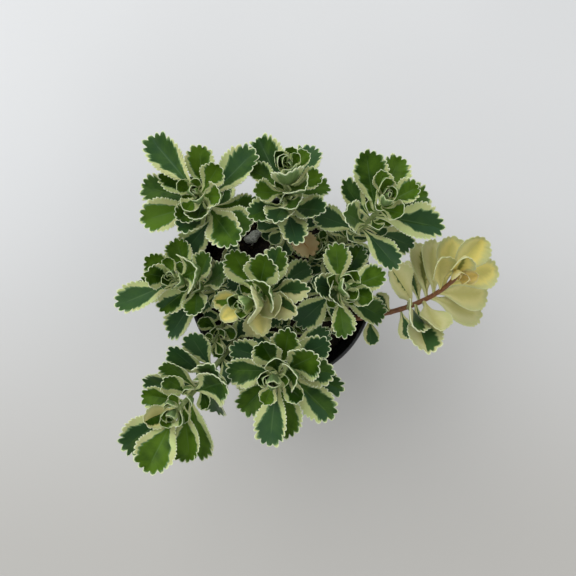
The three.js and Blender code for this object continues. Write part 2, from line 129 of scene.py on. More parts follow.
# The eye: its place over the pot, its height, and its focal length in photo pixels
EYE = (3.4, 0.5)
EYE_HEIGHT = 400
FOCAL_PIXELS = 663

# The shoots, as in the solids. tips: the open leaves' tips as the eye sees them, from the
# crown. pale: which of those leaves have lost their green, and how far. stripe: which of
# the pale ones keep a green midrib. withered: which of the low leaves have dried up.
# red: how red the stem is. tone: how fresh the green is.
LOW_LEAVES = {"every": 6.5, "lengths": (15, 22)}
SHOOTS = [{
    "name": "shoot_front",
    "base": (3, -22), "crown": (-3, -38, 126), "lean": (194, 16), "spread": 20,
    "tips": [
        (-1, -26.5), (23.5, 16), (-17, 14), (29, -3.5), (30, 5), (25, -15), (-12.5, -12),
        (-18.5, 4.5), (6, -22.5), (7, 22.5), (21.5, 13.5), (-6, 18.5), (0.5, 10.5), (16, 4.5),
        (11, -7), (-8.5, 1.5), (-3, -9),
    ],
    "tone": 0.3,
}, {
    "name": "shoot_back_left",
    "base": (-22, 26), "crown": (-34.5, 40, 127), "lean": (130, 5), "spread": 20,
    "tips": [
        (-19.5, 23), (24.5, 16.5), (-7.5, -16), (27.5, -7), (23.5, -17), (-21.5, 2.5), (18.5, -24),
        (-22.5, -12), (-8, -12), (0.5, -19.5), (1.5, 19.5), (-15, 9.5), (10, 12), (13.5, -2.5),
        (-5, -8.5),
    ],
    "tone": 0.65,
}, {
    "name": "shoot_back_middle",
    "base": (2, 25), "crown": (4, 50.5, 128), "lean": (82, 32), "spread": 22,
    "tips": [
        (3, -32.5), (10, 9), (15, -19), (-17, -21), (-8, -29), (10.5, -27.5), (-12.5, 11),
        (17, -7.5), (-15.5, -10.5), (-17, -0.5), (14, -4), (11, -15), (3, -15), (1.5, 8), (7.5, 7),
        (-5.5, 4),
    ],
    "withered": (4,),
    "tone": 0.5,
}, {
    "name": "shoot_back_right",
    "base": (22, 20), "crown": (44, 38, 130), "lean": (66, 28), "spread": 20,
    "tips": [
        (4, -29.5), (10, -20.5), (-18.5, -7), (22.5, -13), (-16.5, 5), (18.5, 2.5), (-10, 18),
        (5, 16), (7.5, -7.5), (13, 4), (-3, 11),
    ],
    "tone": 0.6,
}, {
    "name": "shoot_centre",
    "base": (-3, 1), "crown": (-15.5, -6.5, 122), "lean": (204, 36), "spread": 18,
    "tips": [
        (28, 6.5), (27, -6.5), (17, -10.5), (4, -13), (15.5, 24), (26.5, 16), (8.5, -12),
        (-5, 23.5), (9.5, 19.5), (18.5, -6), (-13, 2), (-9.5, -6.5),
    ],
    "pale": {0: 0.3, 1: 0.55, 2: 1, 3: 1, 6: 1, 9: 0.6, 10: 0.7, 11: 1},
    "tone": 0.9,
}, {
    "name": "shoot_right",
    "base": (19, -3), "crown": (27.5, 1, 120), "lean": (60, 8), "spread": 16,
    "tips": [
        (16, -13), (-13, 1), (-10.5, -6), (7, 17), (-0.5, -21.5), (-4, 18.5), (17, 5.5),
        (12, -5.5), (-9, -1.5), (5.5, 7.5),
    ],
    "tone": 0.5,
}, {
    "name": "shoot_left",
    "base": (-25, 2), "crown": (-47, 5.5, 112), "lean": (142, 28), "spread": 20,
    "tips": [
        (-24, -13), (-1, -26), (25, 3), (10, -17), (18, 11.5), (-5, -15), (-13.5, -5.5),
        (1.5, 16.5), (-11, 8.5), (-15.5, 2.5), (13.5, 4),
    ],
    "tone": 0.55,
}, {
    "name": "shoot_front_left",
    "base": (-20, -22), "crown": (-47, -55, 108), "lean": (226, 28), "spread": 21,
    "tips": [
        (-1.5, 29.5), (20, 1), (21, 26), (-15, 11), (-22, -15), (-4.5, 24.5), (23.5, 14),
        (12.5, -20.5), (-4.5, 16.5), (-11, -25), (-14.5, 8), (7, -21.5), (-14.5, -3), (4.5, -4.5),
    ],
    "pale": {12: 0.6},
    "tone": 0.45,
}, {
    "name": "shoot_right_pale",
    "base": (29, -15), "crown": (78.5, 6, 105), "lean": (66, 36), "spread": 24,
    "shortest": 17, "light": 0.85,
    "tips": [
        (-19.5, -23), (-27.5, 2), (-12.5, -31.5), (-22, 6), (-6, -29), (-16.5, 13.5), (10, -18),
        (-10.5, 15.5), (12.5, -8), (-7, 9), (-1.5, 17.5), (18, 3.5), (9.5, 17.5), (4.5, 9.5),
    ],
    "low": {"every": 5, "lengths": (12, 15)},
    "pale": {
        0: 0.5, 1: 0.85, 2: 0.5, 3: 0.7, 4: 0.95, 5: 0.9, 6: 1, 7: 1, 8: 1, 9: 1, 10: 1, 11: 1,
        12: 1, 13: 0.9,
    },
    "stripe": (3, 5, 13),
    "pale_bud": True, "axils": 0, "filling": 0, "red": 1,
    "tone": 0.7,
}]

SPROUTS = [
    {"name": "sprout_front_left", "base": (-27, -12), "crown": (-32, -25, 92), "lean": (230, 15), "count": 8},
    {"name": "sprout_back", "base": (10, 9), "crown": (19, 20, 98), "lean": (60, 20), "count": 8},
    {"name": "sprout_front_right", "base": (17, -20), "crown": (17, -19, 88), "lean": (300, 25), "count": 7},
]

GRAINS = [
    {"name": "pumice_1", "place": (-14.5, 26), "size": (4.6, 2.8, 2.4), "turn": 35},
    {"name": "pumice_2", "place": (6, -6), "size": (2.4, 1.9, 1.7), "turn": 110},
    {"name": "pumice_3", "place": (27, 24), "size": (2.2, 1.7, 1.5), "turn": 60},
]


# Small helpers

def seeded(seed):
    """A small seeded random source, the same one as the solids use."""
    state = seed * 7919 + 17

    def draw():
        nonlocal state
        state = (state * 16807) % 2147483647
        return state / 2147483647

    return draw


def unit(vector):
    return vector / np.linalg.norm(vector)


def direction(bearing, rise):
    flat = math.cos(rise)
    return np.array([flat * math.cos(bearing), flat * math.sin(bearing), math.sin(rise)])


def turned(vector, axis, angle):
    """The vector turned about a unit axis."""
    return (
        vector * math.cos(angle)
        + np.cross(axis, vector) * math.sin(angle)
        + axis * axis.dot(vector) * (1 - math.cos(angle))
    )


def smooth(low, high, value):
    share = np.clip((np.asarray(value, dtype=float) - low) / (high - low), 0, 1)
    return share * share * (3 - 2 * share)


def between(ends, share):
    return ends[0] + (ends[1] - ends[0]) * share


def running_sum(steps):
    return np.concatenate([[0], np.cumsum(steps)])


def full_turn(sides):
    return 2 * math.pi * np.arange(sides) / sides


def seen_at(x, y, z, height):
    """Where the eye's line through a point comes to another height."""
    scale = (EYE_HEIGHT - height) / (EYE_HEIGHT - z)
    return EYE[0] + (x - EYE[0]) * scale, EYE[1] + (y - EYE[1]) * scale


def soil_height(x, y):
    waves = np.sin(0.31 * x + 1.3) * np.cos(0.27 * y) + 0.6 * np.sin(0.53 * y - 0.41 * x)
    return SOIL_TOP + SOIL_LUMP * waves


def inner_radius(z):
    share = min(1, z / COLLAR_FOOT)
    step = COLLAR_STEP if z > COLLAR_FOOT else 0
    return FOOT_RADIUS - WALL + (RIM_RADIUS - WALL_INSET - FOOT_RADIUS) * share + step


# Growing: stems

class Stem:
    """A stem's centreline: straight up out of the mix, then over to the crown along its lean."""

    def __init__(self, base, crown, lean):
        start = np.array([base[0], base[1], SOIL_TOP], dtype=float)
        end = np.array(crown, dtype=float)
        axis = direction(math.radians(lean[0]), math.radians(90 - lean[1]))
        reach = np.linalg.norm(end - start)
        rise, arch = [0, 0, STEM_RISE * reach], STEM_ARCH * reach * axis
        self.controls = np.array([start, start + rise, end - arch, end])
        line = self.points(np.linspace(0, 1, 25))
        self.length = np.linalg.norm(np.diff(line, axis=0), axis=1).sum()

    def points(self, t):
        t = np.asarray(t, dtype=float)[..., None]
        a, b, c, d = self.controls
        return (1 - t) ** 3 * a + 3 * (1 - t) ** 2 * t * b + 3 * (1 - t) * t**2 * c + t**3 * d

    def tangent(self, t):
        a, b, c, d = self.controls
        return unit((1 - t) ** 2 * (b - a) + 2 * (1 - t) * t * (c - b) + t**2 * (d - c))

    def share(self, below):
        """Where along the curve a point this far below the crown lies."""
        return max(0.02, 1 - below / self.length)


# Growing: leaves

def profile(u):
    """Half of a leaf's width at a share u of its length, as a share of its widest half."""
    u = np.asarray(u, dtype=float)
    way = np.clip(u / WIDEST_AT, 0, 1)
    rising = BASE_WIDTH_SHARE + (1 - BASE_WIDTH_SHARE) * np.sin(math.pi / 2 * way) ** FOOT_CURVE
    past = np.clip((u - WIDEST_AT) / (1 - WIDEST_AT), 0, 1)
    return np.where(u < WIDEST_AT, rising, np.sqrt(1 - past * past))


def make_leaf(wanted):
    """A leaf on a stem: where it grows, where it points and how big it is."""
    leaf = dict(wanted)
    stem = leaf["stem"]
    t = stem.share(leaf["below"])
    axis = stem.tangent(t)
    along = direction(leaf["bearing"], leaf["rise"])
    light = axis * (1 - leaf["light"]) + np.array([0, 0, leaf["light"]])
    normal = turned(unit(light - along * along.dot(light)), along, leaf["roll"])
    leaf["origin"] = stem.points(t)
    leaf["along"] = along
    leaf["normal"] = normal
    leaf["side"] = np.cross(normal, along)
    leaf["half_width"] = HALF_WIDTH_SHARE * leaf["length"] * leaf["width"]
    return leaf


def leaf_points(leaf, u, v, lift):
    """Points of a leaf: u along its length, v across it and lift off its middle surface in mm."""
    u, v, lift = np.broadcast_arrays(*(np.asarray(part, dtype=float) for part in (u, v, lift)))
    curl, length = leaf["curl"], leaf["length"]
    turn = curl * (u - 0.5)
    x = length * (np.sin(turn) + math.sin(curl / 2)) / curl
    z = length * (math.cos(curl / 2) - np.cos(turn)) / curl
    filled = np.minimum(1, CUP_RISE * np.maximum(u, 0))
    cup = CUP_SHARE * length * (v / leaf["half_width"]) ** 2 * filled * 0.5
    raised = cup + lift
    return (
        leaf["origin"]
        + (x - raised * np.sin(turn))[..., None] * leaf["along"]
        + (z + raised * np.cos(turn))[..., None] * leaf["normal"]
        + v[..., None] * leaf["side"]
    )


def cluster(points, owner, blade_from=None):
    """Points that keep their distance from others, and those of them that are a leaf's blade."""
    centre = points.mean(axis=0)
    return {
        "points": points,
        "centre": centre,
        "radius": np.linalg.norm(points - centre, axis=1).max(),
        "blade": None if blade_from is None else points[blade_from:],
        "owner": owner,
    }


def leaf_samples(leaf, owner):
    across = len(SAMPLE_SHARES)
    rows = SAMPLE_FROM + (1 - SAMPLE_FROM) * np.arange(1, SAMPLE_ROWS + 1) / SAMPLE_ROWS
    u = np.repeat(rows, across)
    v = np.tile(SAMPLE_SHARES, SAMPLE_ROWS) * leaf["half_width"] * profile(u)
    return cluster(leaf_points(leaf, u, v, 0), owner, blade_from=STALK_ROWS * across)


def closer_than(a, b, distance):
    gaps = a[:, None, :] - b[None, :, :]
    return (np.einsum("ijk,ijk->ij", gaps, gaps) < distance * distance).any()


def near(a, b):
    if np.linalg.norm(a["centre"] - b["centre"]) > a["radius"] + b["radius"] + CLEARANCE:
        return False
    return closer_than(a["points"], b["points"], CLEARANCE)


def crosses(a, b):
    if b["blade"] is None or np.linalg.norm(a["centre"] - b["centre"]) > a["radius"] + b["radius"]:
        return False
    return closer_than(a["blade"], b["blade"], OWN_CLEARANCE)


def in_pot(points):
    """Whether any point lies in or too near the pot, the mix or the table."""
    r = np.hypot(points[:, 0], points[:, 1])
    z = points[:, 2]
    low = z < WALL_CLEARANCE
    in_mix = (r < inner_radius(POT_HEIGHT)) & (z < SOIL_TOP + SOIL_LUMP + WALL_CLEARANCE)
    in_wall = (z < POT_HEIGHT + WALL_CLEARANCE) & (np.abs(r - RIM_RADIUS + WALL) < WALL_CLEARANCE + WALL)
    return (low | in_mix | in_wall).any()


def find_room(wanted, owner, apart, taken):
    """The first try that touches neither the pot nor another shoot, nor its own leaves if apart."""
    own = [other for other in taken if other["owner"] == owner]
    others = [other for other in taken if other["owner"] != owner]
    for shorter, aside, up in itertools.product(SHORTER, ASIDE, RAISED):
        leaf = make_leaf({
            **wanted,
            "length": wanted["length"] * shorter,
            "bearing": wanted["bearing"] + math.radians(aside),
            "rise": wanted["rise"] + math.radians(up),
        })
        samples = leaf_samples(leaf, owner)
        if in_pot(samples["points"]) or any(near(samples, other) for other in others):
            continue
        if apart and any(crosses(samples, other) for other in own):
            continue
        return leaf, samples
    return None


def settle(wanted, owner, taken):
    """A leaf that would touch another shoot turns aside, or grows shorter, or is left out."""
    found = find_room(wanted, owner, True, taken) or find_room(wanted, owner, False, taken)
    if found is None:
        return None
    taken.append(found[1])
    return found[0]


def hides(leaf, grain):
    """Whether a leaf stands between the eye and a grain."""
    x, y = seen_at(*leaf_samples(leaf, None)["points"].T, soil_height(*grain["place"]))
    return (np.hypot(x - grain["place"][0], y - grain["place"][1]) < grain["size"][0]).any()


def rise_for(axis, bearing, angle):
    """The rise of a leaf that stands at an angle to the stem's axis, on a bearing."""
    forward = axis[0] * math.cos(bearing) + axis[1] * math.sin(bearing)
    size = math.hypot(forward, axis[2])
    return math.atan2(axis[2], forward) - math.acos(max(-1, min(1, math.cos(angle) / size)))


def reach_tip(plant, below, tip):
    """A leaf from a place on the stem to its tip, as the eye sees it."""
    stem, crown = plant["stem"], plant["crown"]
    t = stem.share(below)
    origin = stem.points(t)
    axis = stem.tangent(t)
    age = min(1, below / plant["spread"])
    shortest = plant.get("shortest", SHORTEST_OPEN) + OLDER_LONGER * age
    height = origin[2]
    for _ in range(3):
        x, y = seen_at(crown[0] + tip[0], crown[1] + tip[1], crown[2], height)
        x, y = x - origin[0], y - origin[1]
        reach = math.hypot(x, y)
        bearing = math.atan2(y, x)
        rise = rise_for(axis, bearing, math.radians(OPEN_ANGLE + OLDER_ANGLE * age))
        length = reach / math.cos(rise)
        if length > LONGEST_LEAF or length < shortest:
            length = LONGEST_LEAF if length > LONGEST_LEAF else shortest
            lean = math.acos(min(1, reach / length))
            rise = -lean if rise < math.radians(-15) else lean
        height = origin[2] + length * math.sin(rise)
    return {"stem": stem, "below": below, "bearing": bearing, "rise": rise, "length": length, "reach": reach}


def open_leaf(plant, share, tip, draw):
    below = plant["spread"] * (1 - share) + 2.5
    leaf = reach_tip(plant, below, tip)
    while leaf["reach"] > LONGEST_LEAF and below > 4:
        below -= 1.5
        leaf = reach_tip(plant, below, tip)
    leaf["curl"] = 0.5 - 0.9 * (1 - share) + 0.3 * draw()
    leaf["roll"] = math.radians(24 * (draw() - 0.5))
    leaf["width"] = 0.76 + 0.3 * share + 0.16 * draw()
    leaf["age"] = 0.25 + 0.5 * (1 - share)
    return leaf


def spiral(stem, rule, draw):
    """Leaves a golden angle apart, from low on the stem to high. Each rule gives its ends for
    the distance below the crown, the angle to the stem and the length."""
    leaves = []
    for i in range(rule["count"]):
        share = i / (rule["count"] - 1) if rule["count"] > 1 else 1
        below = between(rule["below"], share)
        axis = stem.tangent(stem.share(below))
        angle = math.radians(between(rule["angles"], share))
        turn = math.radians(rule["phase"] + GOLDEN_ANGLE * i + 16 * (draw() - 0.5))
        across = unit(np.array([1, 0, 0]) - axis * axis[0])
        outward = across * math.cos(turn) + np.cross(axis, across) * math.sin(turn)
        along = outward * math.sin(angle) + axis * math.cos(angle)
        leaves.append({
            "stem": stem,
            "below": below,
            "bearing": math.atan2(along[1], along[0]),
            "rise": math.asin(along[2]),
            "length": between(rule["lengths"], share) * (0.92 + 0.16 * draw()),
            "curl": rule["curl"] + 0.2 * draw(),
            "roll": math.radians(14 * (draw() - 0.5)),
            "width": 0.92 + 0.2 * draw(),
            "age": rule["age"],
        })
    return leaves


def bud_rule(phase):
    return {"count": 4, "below": (3, 1), "angles": (52, 27), "lengths": (12.5, 8.5),
            "phase": phase, "curl": 0.75, "age": 0.1}


def old_rule(plant, phase):
    low = plant.get("low", LOW_LEAVES)
    start, end = plant["stem"].length - 7, plant["spread"] + 6
    return {"count": max(1, math.floor((start - end) / low["every"]) + 1), "below": (start, end),
            "angles": (88, 96), "lengths": low["lengths"], "phase": phase, "curl": -0.5, "age": 0.95}


def sprout_rule(plant, phase):
    return {"count": plant["count"], "below": (min(15, plant["stem"].length - 6), 1),
            "angles": (92, 35), "lengths": (15, 8), "phase": phase, "curl": 0.25, "age": 0.45}


def grow_plant():
    """Every shoot with its leaves, in the order in which room is given out."""
    plants = []
    for i, spec in enumerate(SHOOTS + SPROUTS):
        stem = Stem(spec["base"], spec["crown"], spec["lean"])
        plants.append({**spec, "stem": stem, "draw": seeded(i + 1), "leaves": []})
    shoots = [plant for plant in plants if "tips" in plant]
    taken = [cluster(plant["stem"].points(np.linspace(0, 1, 25)), plant["name"]) for plant in plants]

    def grow(plant, wanted):
        for one in wanted:
            one["light"] = LOW_LIGHT if one["age"] > LOW_AGE else plant.get("light", TOWARDS_LIGHT)
            leaf = settle(one, plant["name"], taken)
            if leaf:
                plant["leaves"].append(leaf)

    for plant in shoots:
        last = len(plant["tips"]) - 1
        pale, stripe = plant.get("pale", {}), plant.get("stripe", ())
        wanted = [open_leaf(plant, i / last, tip, plant["draw"]) for i, tip in enumerate(plant["tips"])]
        for i, leaf in enumerate(wanted):
            leaf["pale"] = pale.get(i, 0)
            leaf["stripe"] = 1 if i in stripe else 0
        grow(plant, wanted)
    for plant in shoots:
        wanted = spiral(plant["stem"], bud_rule(360 * plant["draw"]()), plant["draw"])
        grow(plant, wanted)
    for plant in plants:
        phase = 360 * plant["draw"]()
        rule = old_rule(plant, phase) if "tips" in plant else sprout_rule(plant, phase)
        wanted = spiral(plant["stem"], rule, plant["draw"])
        for i in plant.get("withered", ()):
            wanted[i]["withered"] = 1
        grow(plant, wanted)
    for i, plant in enumerate(plants):
        plant["leaves"] = [bared(leaf) for leaf in plant["leaves"]]
        add_small_leaves(plant, seeded(101 + i), taken)
    return plants


def bared(leaf):
    """A low leaf that would hide the largest grain stays short enough to leave it in view."""
    while leaf["age"] > LOW_AGE and leaf["length"] > 8 and hides(leaf, GRAINS[0]):
        leaf = make_leaf({**leaf, "length": 0.9 * leaf["length"]})
    return leaf


def small_rules(plant, draw):
    """The rules of the smallest leaves, folded over the growing point, of young ones in the
    axils of the open leaves, and of dull ones low between the stems."""
    length = plant["stem"].length
    spread, lowest = min(plant.get("spread", 12), length - 12), length - 6
    axils = int(plant.get("axils", AXILS_PER_MM) * spread)
    filling = int(max(0, lowest - spread - 3) * plant.get("filling", FILLING_PER_MM))
    return (
        {"count": 3, "below": (0.9, 0.2), "angles": (24, 10), "lengths": (6.5, 4.5),
         "phase": 360 * draw(), "curl": 0.9, "age": 0},
        {"count": axils, "below": (spread, 4), "angles": (62, 50), "lengths": (13, 9),
         "phase": 360 * draw(), "curl": 0.4, "age": 0.3},
        {"count": filling, "below": (lowest, spread + 3), "angles": (80, 66), "lengths": (11, 14),
         "phase": 360 * draw(), "curl": 0.1, "age": 0.8},
    )


def add_small_leaves(plant, draw, taken):
    """Leaves that only the close view shows, where they find room and hide no large grain."""
    for rule in small_rules(plant, draw):
        for one in spiral(plant["stem"], rule, draw):
            one["light"] = plant.get("light", TOWARDS_LIGHT)
            found = find_room(one, plant["name"], one["age"] > 0, taken)
            if found and not hides(found[0], GRAINS[0]):
                taken.append(found[1])
                plant["leaves"].append(found[0])


# Meshes: leaves. A leaf's skin is laid out in rows from its midrib to its edge, one row for
# each point of the outline, and a column for each of these shares of the way out.

TOP_COLUMNS = (0, 0.12, 0.3, 0.52, 0.74, 0.9, 1)
UNDER_COLUMNS = (0, 0.4, 0.8, 1)
RIB_END = 0.84
SMALL_LEAF = 16

# The finer leaf: its foot, and its teeth's pitch and depth in mm on a leaf of the usual length,
# low on its side and what is added around its end
FINE_FOOT = 0.1
FINE_CURVE = 2.6
USUAL_LENGTH = 26
TOOTHED_FROM = 0.26
TOOTH_PITCH = (1.35, 1.9)
TOOTH_DEPTH = (0.7, 0.8)
UNEVEN_PITCH = 0.28
UNEVEN_DEPTH = 0.35

# Its thickness in mm and what each mm of its length adds, and the depth of groove and veins
EDGE_THICKNESS = (0.18, 0.012)
RIB_THICKNESS = (0.5, 0.03)
FOOT_THICKENING = 0.4
GROOVE_DEPTH = 0.25
GROOVE_WIDTH = 0.5
VEIN_DEPTH = 0.05


def blade(u, widest, blunt):
    """Half width of the finer leaf: a narrow foot, then a wedge that widens to a blunt end."""
    way = np.clip(u / widest, 0, 1)
    rising = FINE_FOOT + (1 - FINE_FOOT) * np.sin(math.pi / 2 * way) ** FINE_CURVE
    past = np.clip((u - widest) / (1 - widest), 0, 1)
    return np.where(u < widest, rising, (1 - past**blunt) ** (1 / blunt))


def leaf_outline(leaf, points_per_tooth, random, uneven_seed):
    """One side of a leaf from foot to tip: u, v, the same without teeth, and the share s of the
    way. Small round teeth stand along its side, and larger ones around its end."""
    size = math.sqrt(leaf["length"] / USUAL_LENGTH)
    widest = WIDEST_AT - 0.06 + 0.08 * random
    rising = np.linspace(0, widest, 200)
    end = widest + (1 - widest) * np.sin(np.linspace(0, math.pi / 2, 201)[1:])
    u = np.concatenate([rising, end])
    x = u * leaf["length"]
    y = leaf["half_width"] * blade(u, widest, 1.65 + 0.5 * (7 * random % 1))
    way = running_sum(np.hypot(np.diff(x), np.diff(y)))
    pitch = size * (TOOTH_PITCH[0] + TOOTH_PITCH[1] * smooth(0.5, 0.95, way / way[-1]))
    count = running_sum(np.diff(way) / pitch[1:])
    teeth = math.floor(count[-1] - np.interp(TOOTHED_FROM, u, count)) + 0.5
    pitch = pitch * (1 + UNEVEN_PITCH * np.sin(way / size + 20 * uneven_seed))
    count = running_sum(np.diff(way) / pitch[1:])
    start = np.interp(TOOTHED_FROM, u, count)
    tooth = (count - start) * teeth / (count[-1] - start)
    phase = np.linspace(0, teeth, int(teeth * points_per_tooth) + 1)
    foot = np.linspace(0, np.interp(start, count, way), 8)[:-1]
    along = np.concatenate([foot, np.interp(phase, tooth, way)])
    phase = np.concatenate([np.zeros(len(foot)), phase])
    px, py = np.interp(along, way, x), np.interp(along, way, y)
    even = px / leaf["length"], py
    dx, dy = np.gradient(px), np.gradient(py)
    dx[-1], dy[-1] = 0, -1
    steep = np.hypot(dx, dy)
    s = along / way[-1]
    lobe = np.abs(np.sin(math.pi * phase)) ** 0.7
    uneven = 1 + UNEVEN_DEPTH * np.sin(2.4 * np.floor(phase) + 20 * uneven_seed)
    depth = size * (TOOTH_DEPTH[0] + TOOTH_DEPTH[1] * smooth(0.6, 0.95, s)) * uneven * smooth(0, 1.5, phase)
    depth = depth * (1 - 0.5 * leaf.get("pale", 0))
    swell = depth * (lobe - 0.5)
    px = px - dy / steep * swell + dx / steep * 0.5 * depth * lobe * (1 - smooth(0.9, 1, s))
    py = py + dx / steep * swell
    py[-1] = 0
    return np.stack([px / leaf["length"], py, *even, s])


def leaf_lift(leaf, bend, sign, s, rho, us, vs, top):
    """How far a leaf's skin lies off its middle surface, by its thickness, ruffles and sway,
    the fold along its rib, and the groove and veins."""
    length = leaf["length"]
    young = 1 - min(1, leaf["age"] / 0.6)
    grown = min(1, length / 20)
    edge = EDGE_THICKNESS[0] + EDGE_THICKNESS[1] * length
    rib = RIB_THICKNESS[0] + RIB_THICKNESS[1] * length
    foot = 1 - smooth(0.05, 0.3, us)
    thick = edge + (rib + FOOT_THICKENING * foot - edge) * (1 - rho**2.2)
    sway = bend["sway"] * length * np.sin(4.5 * us + bend["phase"]) * smooth(0, 0.3, us)
    ruffle = bend["wave"] * length * rho**3 * np.sin(13 * s + bend["phase"] * sign)
    ruffle = ruffle + bend["twist"] * vs * (us - 0.4) + sway
    fold = (0.12 + 0.3 * young) * (np.sqrt(vs**2 + 0.16) - 0.4) * smooth(0.1, 0.5, us)
    fold = fold + (0.03 + 0.1 * young) * length * rho**2 * smooth(0.3, 0.9, us)
    groove = GROOVE_DEPTH * np.exp(-((vs / GROOVE_WIDTH) ** 2)) * (1 - smooth(0.55, 0.9, us)) * grown
    veins = VEIN_DEPTH * np.sin(34 * s + 3 * rho) * (rho * (1 - rho) * 4) ** 2
    veins = veins * (1 - smooth(0.5, 0.66, s)) * grown
    return ruffle + fold + (0.5 * thick - groove + veins if top else -0.5 * thick - 0.8 * groove)


def leaf_mesh(leaf, draw):
    """Vertices, quads and vertex maps of one leaf, thick at its rib and round at its edge."""
    random = draw()
    shade = 0.55 * random + 0.45 * leaf["tone"]
    points_per_tooth = 4 if leaf["length"] > SMALL_LEAF else 3
    outline = leaf_outline(leaf, points_per_tooth, random, random)
    other_side = leaf_outline(leaf, points_per_tooth, random, random + 0.4)
    n = outline.shape[1]
    sign = np.concatenate([np.ones(n), -np.ones(n - 1)])[:, None]
    u, v, even_u, even_v, s = np.concatenate([outline, other_side[:, -2::-1]], axis=1)[..., None]
    v, even_v = v * sign, even_v * sign
    bend = {
        "wave": 0.008 + 0.012 * draw(),
        "phase": 6.3 * draw(),
        "twist": 0.5 * (draw() - 0.5),
        "sway": 0.012 + 0.012 * draw(),
    }

    def face(columns, top):
        rho = np.array(columns)[None, :]
        toothed = smooth(0.55, 1, rho)
        us = even_u * (RIB_END * (1 - rho) + rho) + (u - even_u) * toothed
        vs = even_v * rho + (v - even_v) * toothed
        points = leaf_points(leaf, us, vs, leaf_lift(leaf, bend, sign, s, rho, us, vs, top))
        return points, np.stack(np.broadcast_arrays(s, rho, shade), axis=-1)

    top, top_map = face(TOP_COLUMNS, True)
    under, under_map = face(UNDER_COLUMNS, False)
    outward = unit_rows(top[:, -1] - top[:, -2] + under[:, -1] - under[:, -2])
    edge = EDGE_THICKNESS[0] + EDGE_THICKNESS[1] * leaf["length"]
    rim = (top[:, -1] + under[:, -1]) / 2 + outward * 0.4 * edge
    skin = np.concatenate([top, rim[:, None], under[:, ::-1]], axis=1)
    maps = np.concatenate([top_map, top_map[:, -1:], under_map[:, ::-1]], axis=1)
    rows, count = skin.shape[:2]
    index = np.arange(rows * count).reshape(rows, count)
    for seam in (0, count - 1):
        index[n:, seam] = index[n - 2::-1, seam]
    quads = np.stack([index[:-1, :-1], index[1:, :-1], index[1:, 1:], index[:-1, 1:]], axis=-1)
    is_top = np.arange(count) <= len(TOP_COLUMNS)
    kind = [leaf.get("pale", 0), leaf.get("withered", 0), leaf["age"]]
    mark = np.stack(np.broadcast_arrays(is_top, leaf.get("stripe", 0), sign), axis=-1)
    return {
        "points": skin.reshape(-1, 3),
        "quads": quads.reshape(-1, 4),
        "map": maps.reshape(-1, 3),
        "kind": np.tile(kind, (rows * count, 1)),
        "mark": mark.reshape(-1, 3),
        "slot": 0,
    }


def unit_rows(vectors):
    return vectors / np.maximum(np.linalg.norm(vectors, axis=-1, keepdims=True), 1e-9)


# Meshes: stems

def ring_quads(rows, sides):
    """Quads between rings of points that follow one another."""
    index = np.arange(rows * sides).reshape(rows, sides)
    around = np.roll(index, -1, axis=1)
    return np.stack([index[:-1], around[:-1], around[1:], index[1:]], axis=-1).reshape(-1, 4)


def stem_mesh(plant, thickness):
    """A round tapered stem with a swelling at each leaf, from its foot in the mix to its crown."""
    stem = plant["stem"]
    t = np.concatenate([np.zeros(4), np.linspace(0, 1, STEM_STEPS)])
    sunk = np.concatenate([-np.linspace(STEM_FOOT, 1, 4), np.zeros(STEM_STEPS)])
    below = stem.length * (1 - t)
    radius = thickness * (STEM_BASE_RADIUS + (STEM_TIP_RADIUS - STEM_BASE_RADIUS) * t)
    for leaf in plant["leaves"]:
        radius = radius + NODE_SWELLING * np.exp(-(((below - leaf["below"]) / 0.7) ** 2))
    radius[-3:] *= [0.9, 0.65, 0.2]
    turn = full_turn(STEM_SIDES)
    points = []
    for ti, drop, r in zip(t, sunk, radius):
        axis = stem.tangent(ti)
        across = unit(np.array([0, 1, 0]) - axis * axis[1])
        other = np.cross(axis, across)
        uneven = r * (1 + 0.035 * np.sin(3 * turn + 9 * ti) + 0.02 * np.sin(5 * turn - 23 * ti))
        ring = uneven[:, None] * (np.cos(turn)[:, None] * across + np.sin(turn)[:, None] * other)
        points.append(stem.points(ti) + [0, 0, drop] + ring)
    amount = len(t) * STEM_SIDES
    return {
        "points": np.concatenate(points),
        "quads": ring_quads(len(t), STEM_SIDES),
        "map": np.repeat(t, STEM_SIDES)[:, None] * (1, 0, 0),
        "kind": np.tile([plant.get("red", 0), 0, 0], (amount, 1)),
        "mark": np.zeros((amount, 3)),
        "slot": 1,
    }


def add_object(name, data):
    thing = bpy.data.objects.new(name, data)
    bpy.context.scene.collection.objects.link(thing)
    return thing


def join_parts(name, parts, materials):
    """One mesh object in metres from several parts, with their vertex maps."""
    offsets = np.cumsum([0] + [len(part["points"]) for part in parts[:-1]])
    points = np.concatenate([part["points"] for part in parts]) * MM
    quads = np.concatenate([part["quads"] + offset for part, offset in zip(parts, offsets)])
    slots = np.concatenate([np.full(len(part["quads"]), part["slot"]) for part in parts])
    mesh = bpy.data.meshes.new(name)
    mesh.vertices.add(len(points))
    mesh.vertices.foreach_set("co", points.ravel())
    mesh.loops.add(quads.size)
    mesh.loops.foreach_set("vertex_index", quads.ravel())
    mesh.polygons.add(len(quads))
    mesh.polygons.foreach_set("loop_start", np.arange(0, quads.size, quads.shape[1]))
    mesh.polygons.foreach_set("material_index", slots.astype(np.int32))
    mesh.polygons.foreach_set("use_smooth", np.ones(len(quads), dtype=bool))
    for key in ("map", "kind", "mark"):
        if key in parts[0]:
            values = np.concatenate([part[key] for part in parts])
            attribute = mesh.attributes.new("plant_" + key, "FLOAT_VECTOR", "POINT")
            attribute.data.foreach_set("vector", values.astype(np.float32).ravel())
    mesh.validate()
    mesh.update(calc_edges=True)
    for material in materials:
        mesh.materials.append(material)
    return add_object(name, mesh)


# Materials

